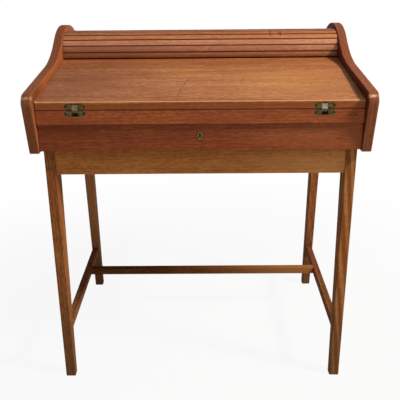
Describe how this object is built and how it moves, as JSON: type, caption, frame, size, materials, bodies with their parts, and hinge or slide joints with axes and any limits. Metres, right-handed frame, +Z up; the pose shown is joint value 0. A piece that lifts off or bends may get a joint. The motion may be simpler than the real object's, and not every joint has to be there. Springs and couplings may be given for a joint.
{
  "type": "cylinder desk",
  "caption": "Small teak cylinder desk with S-curved cheeks, a roll of slats, a folding writing flap, a locking drawer and tapered legs with stretchers.",
  "frame": {"origin": "on the floor, at the middle of the desk's bounding box", "axes": "+X to the right seen from the front, +Y from the front to the back, +Z up"},
  "size_m": [0.781, 0.5376, 0.866],
  "materials": {
    "teak": "satin oiled",
    "golden_wood": "satin oiled",
    "inner_wood": "matt",
    "brass": "aged satin",
    "steel": "dull",
    "canvas": "woven"
  },
  "bodies": {
    "carcass": {"cheek_left": "teak", "cheek_right": "teak", "leg_front_left": "teak", "leg_front_right": "teak", "leg_rear_left": "teak", "leg_rear_right": "teak", "apron_front": "golden_wood", "apron_rear": "golden_wood", "side_rail_left": "teak", "side_rail_right": "teak", "side_stretcher_left": "teak", "side_stretcher_right": "teak", "drawer_runner_left": "inner_wood", "drawer_runner_right": "inner_wood", "cross_stretcher": "teak", "case_bottom": "inner_wood", "case_back": "teak", "writing_board": "teak", "top_rail": "teak", "false_back": "teak", "partition_1": "teak", "partition_2": "teak", "front_rail": "teak", "kicker_rail": "inner_wood", "hinge_leaf_lower_left": "brass", "hinge_leaf_lower_right": "brass"},
    "flap": {"flap": "teak", "hinge_leaf_upper_left": "brass", "hinge_leaf_upper_right": "brass"},
    "link_left": {"hinge_link_left": "steel"},
    "link_right": {"hinge_link_right": "steel"},
    "drawer": {"drawer_front": "teak", "drawer_side_left": "inner_wood", "drawer_side_right": "inner_wood", "drawer_back": "inner_wood", "drawer_bottom": "inner_wood", "keyhole_plate": "brass", "lock_case": "steel"},
    "bolt": {"lock_bolt": "steel"},
    "roll": {"lead_rail": "teak", "slat_1": "teak", "slat_2": "teak", "slat_3": "teak", "slat_4": "teak", "slat_5": "teak", "slat_6": "teak", "slat_7": "teak", "backing_cloth": "canvas"}
  },
  "joints": [
    {"name": "flap_fold", "type": "hinge", "parent": "carcass", "child": "flap", "pos_m": [0, -0.25345, 0.7305], "axis": [1, 0, 0], "range_deg": [0, 180]},
    {"name": "drawer_slide", "type": "slide", "parent": "carcass", "child": "drawer", "axis": [0, -1, 0], "range_m": [0, 0.13]},
    {"name": "bolt_slide", "type": "slide", "parent": "drawer", "child": "bolt", "axis": [0, 0, 1], "range_m": [0, 0.004]},
    {"name": "roll_turn", "type": "hinge", "parent": "carcass", "child": "roll", "pos_m": [0, 0.1348, 0.79595], "axis": [-1, 0, 0], "range_deg": [0, 74]},
    {"name": "link_left_turn", "type": "hinge", "parent": "carcass", "child": "link_left", "pos_m": [-0.2765, -0.24795, 0.725], "axis": [1, 0, 0], "range_deg": [0, 90]},
    {"name": "link_right_turn", "type": "hinge", "parent": "carcass", "child": "link_right", "pos_m": [0.2765, -0.24795, 0.725], "axis": [1, 0, 0], "range_deg": [0, 90]}
  ],
  "couplings": [
    {"joint": "link_left_turn", "follows": "flap_fold", "ratio": 0.5},
    {"joint": "link_right_turn", "follows": "flap_fold", "ratio": 0.5}
  ]
}
